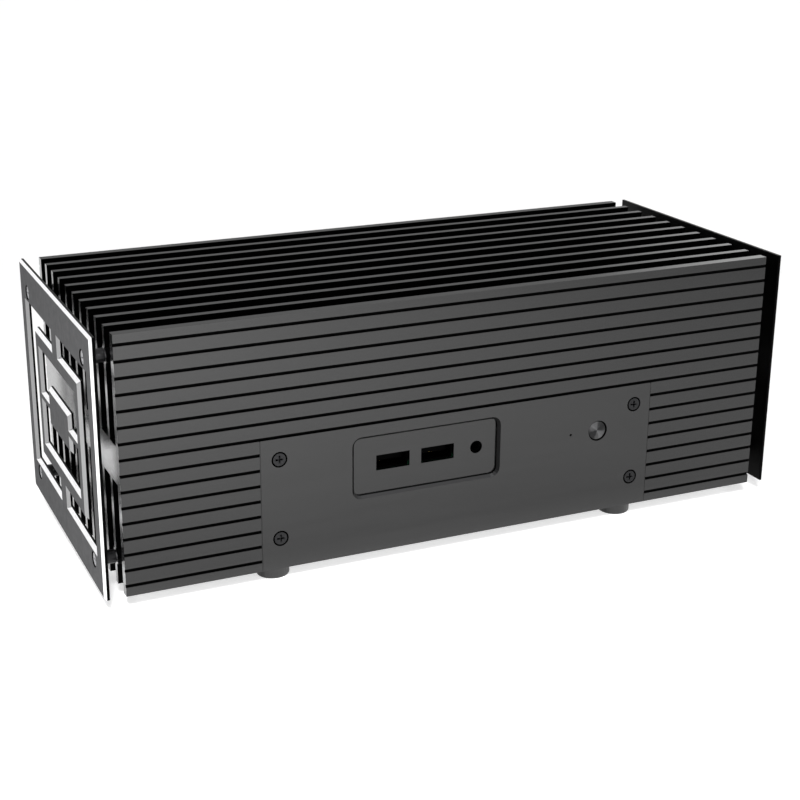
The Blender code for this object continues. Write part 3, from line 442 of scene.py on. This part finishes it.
def new_piece(name, bm, look):
    """Adds one closed mesh that rides on the body of the computer."""
    bmesh.ops.recalc_face_normals(bm, faces=bm.faces)
    mesh = bpy.data.meshes.new(name)
    bm.to_mesh(mesh)
    bm.free()
    mesh.materials.append(look)
    obj = bpy.data.objects.new(name, mesh)
    bpy.context.scene.collection.objects.link(obj)
    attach(obj, "chassis")


def add_bar(bm, low, high, bevel):
    """A box between two corners, with its edges broken by a small bevel."""
    size = Vector(high) - Vector(low)
    place = Matrix.Translation((Vector(high) + Vector(low)) / 2) @ Matrix.Diagonal((*size, 1.0))
    made = bmesh.ops.create_cube(bm, size=1.0, matrix=place)
    corners = set(made["verts"])
    edges = [edge for edge in bm.edges if edge.verts[0] in corners]
    bmesh.ops.bevel(bm, geom=edges, offset=bevel, segments=1, affect="EDGES")


# The gap is the CAD model's own, between a panel and the body.
SEAM_GAP = 0.0003
SEAM_CLEARANCE = 0.00004
SEAM_SET_BACK = 0.00006
SEAM_DEPTH = 0.0016
SEAM_BEVEL = 0.00003


def seam_fillers():
    """Thin gaskets in the upright seams of each port panel, just under the face."""
    for panel, side in (("front_panel", -1), ("rear_panel", 1)):
        low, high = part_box(panel)
        outer = side * (BODY_FACE - SEAM_SET_BACK)
        inner = side * (BODY_FACE - SEAM_SET_BACK - SEAM_DEPTH)
        for hand, x in (("left", low[0] - SEAM_GAP), ("right", high[0])):
            bm = bmesh.new()
            start = (x + SEAM_CLEARANCE, min(outer, inner), low[2] + SEAM_GAP)
            end = (x + SEAM_GAP - SEAM_CLEARANCE, max(outer, inner), high[2] - SEAM_GAP)
            add_bar(bm, start, end, SEAM_BEVEL)
            new_piece(f"{panel}_seam_{hand}", bm, FINISHES["anodised_black"])


GOLD = speckled("gold_contact_finish", (0.75, 0.50, 0.18), 1.0, 0.25)
CONTACT_BEVEL = 0.00005


def contact_row(name, center_x, mouth_y, z, side, count, pitch, size):
    """Flat gilt contacts in a row, which run in from a port's mouth. Size is (width, depth, height)."""
    width, depth, height = size
    bm = bmesh.new()
    far = mouth_y - side * depth
    for i in range(count):
        x = center_x + (i - (count - 1) / 2) * pitch
        low = (x - width / 2, min(mouth_y, far), z - height)
        add_bar(bm, low, (x + width / 2, max(mouth_y, far), z), CONTACT_BEVEL)
    new_piece(name, bm, GOLD)


# Each set of contacts is a count, a pitch, and a size. A half is that of the tongue's thickness.
TONGUE_SETBACK = 0.0032
USB_TONGUE_HALF = 0.0009
USB_CONTACTS = (4, 0.0023, (0.0012, 0.0060, 0.00012))
VIDEO_TONGUE_HALF = 0.0008
VIDEO_CONTACTS = (9, 0.0011, (0.0006, 0.0045, 0.00012))
TONGUE_CLEARANCE = 0.00002
NETWORK_SETBACK = 0.0022
NETWORK_ROOF = 0.0025
NETWORK_CONTACTS = (8, 0.0011, (0.0005, 0.0080, 0.0003))


def tongue_contacts(node, side, tongue_half, contacts):
    """The contacts on the lower side of a port's tongue."""
    low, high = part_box(node)
    mouth = (high[1] if side > 0 else low[1]) - side * TONGUE_SETBACK
    z = (low[2] + high[2]) / 2 - tongue_half - TONGUE_CLEARANCE
    contact_row(f"{node}_contacts", (low[0] + high[0]) / 2, mouth, z, side, *contacts)


def network_contacts():
    """The contacts along the roof of the network socket."""
    low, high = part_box("rear_network_port")
    mouth, z = high[1] - NETWORK_SETBACK, high[2] - NETWORK_ROOF
    contact_row("rear_network_port_contacts", (low[0] + high[0]) / 2, mouth, z, 1, *NETWORK_CONTACTS)


seam_fillers()
for node, side in (("front_usb_port_1", -1), ("front_usb_port_2", -1), ("rear_usb_port", 1)):
    tongue_contacts(node, side, USB_TONGUE_HALF, USB_CONTACTS)
tongue_contacts("rear_video_port", 1, VIDEO_TONGUE_HALF, VIDEO_CONTACTS)
network_contacts()


# Stage


def stage_floor():
    """A pale floor, lit from below right under the object."""
    mesh = bpy.data.meshes.new("floor")
    turns = ((-1, -1), (1, -1), (1, 1), (-1, 1))
    corners = [(FLOOR_REACH * x, FLOOR_REACH * y, 0.0) for x, y in turns]
    mesh.from_pydata(corners, [], [(0, 1, 2, 3)])
    floor = bpy.data.objects.new("floor", mesh)
    bpy.context.scene.collection.objects.link(floor)
    n = Nodes("pale_floor")
    under = []
    for along, half, margins in zip(n.place(), cad_high, TABLE_EDGE):
        edges = [half + margin for margin in margins]
        under.append(n.ranged(n.math("ABSOLUTE", along), 1.0, 0.0, *edges))
    n.surface(
        Base_Color=gray(FLOOR_WHITE, 1.0),
        Roughness=FLOOR_ROUGH,
        Emission_Color=gray(1.0, 1.0),
        Emission_Strength=n.math("MULTIPLY", n.product(*under), TABLE_GLOW),
    )
    mesh.materials.append(n.material)


def card(n, azimuth, height, edges):
    """How much of a soft-edged card is seen in one direction of the surround."""
    start, full, fade, end = (math.radians(edge) for edge in edges)
    rising = n.ranged(azimuth, 0.0, 1.0, start, full)
    falling = n.ranged(azimuth, 1.0, 0.0, fade, end)
    return n.product(rising, falling, n.ranged(height, 1.0, 0.0, *CARD_TOP))


def studio_light():
    """The white surround. Its cards are seen in reflections only."""
    n = WorldNodes("studio")
    x, y, z = n.split(n.add("ShaderNodeTexCoord").outputs["Generated"])
    azimuth = n.math("ARCTAN2", x, y)
    dim = n.math("MULTIPLY", card(n, azimuth, z, DIM_CARD_EDGES), DIM_CARD)
    bright = n.math("MULTIPLY", card(n, azimuth, z, BRIGHT_CARD_EDGES), BRIGHT_CARD)
    cards = n.math("ADD", dim, bright)
    reflected = n.math("SUBTRACT", 1.0, n.add("ShaderNodeLightPath").outputs["Is Camera Ray"])
    n.put(n.shader.inputs["Strength"], n.math("ADD", n.product(cards, reflected), SURROUND))
    n.shader.inputs["Color"].default_value = (1.0, 1.0, 1.0, 1.0)
    bpy.context.scene.world = n.world


def area_light(name, place, target, size, power, spread):
    """A rectangular lamp that points at a target, with its beam narrowed to a spread in degrees."""
    light = bpy.data.lights.new(name, "AREA")
    light.shape = "RECTANGLE"
    light.size, light.size_y = size
    light.energy = power
    light.spread = math.radians(spread)
    obj = bpy.data.objects.new(name, light)
    obj.location = place
    obj.rotation_euler = (Vector(target) - Vector(place)).to_track_quat("-Z", "Y").to_euler()
    bpy.context.scene.collection.objects.link(obj)


def camera():
    """The camera, which looks level with its azimuth and down by its elevation."""
    a, e = math.radians(CAMERA_AZIMUTH), math.radians(CAMERA_ELEVATION)
    back = Vector((math.sin(a) * math.cos(e), -math.cos(a) * math.cos(e), math.sin(e)))
    data = bpy.data.cameras.new("camera")
    data.lens = CAMERA_LENS
    data.sensor_width = CAMERA_SENSOR
    data.shift_x, data.shift_y = CAMERA_SHIFT
    obj = bpy.data.objects.new("camera", data)
    obj.location = CAMERA_PLACE
    obj.rotation_euler = (-back).to_track_quat("-Z", "Y").to_euler()
    bpy.context.scene.collection.objects.link(obj)
    bpy.context.scene.camera = obj


stage_floor()
studio_light()
area_light("key_light", KEY_PLACE, KEY_TARGET, KEY_SIZE, KEY_POWER, KEY_SPREAD)
camera()
bpy.context.scene.view_settings.view_transform = "Standard"
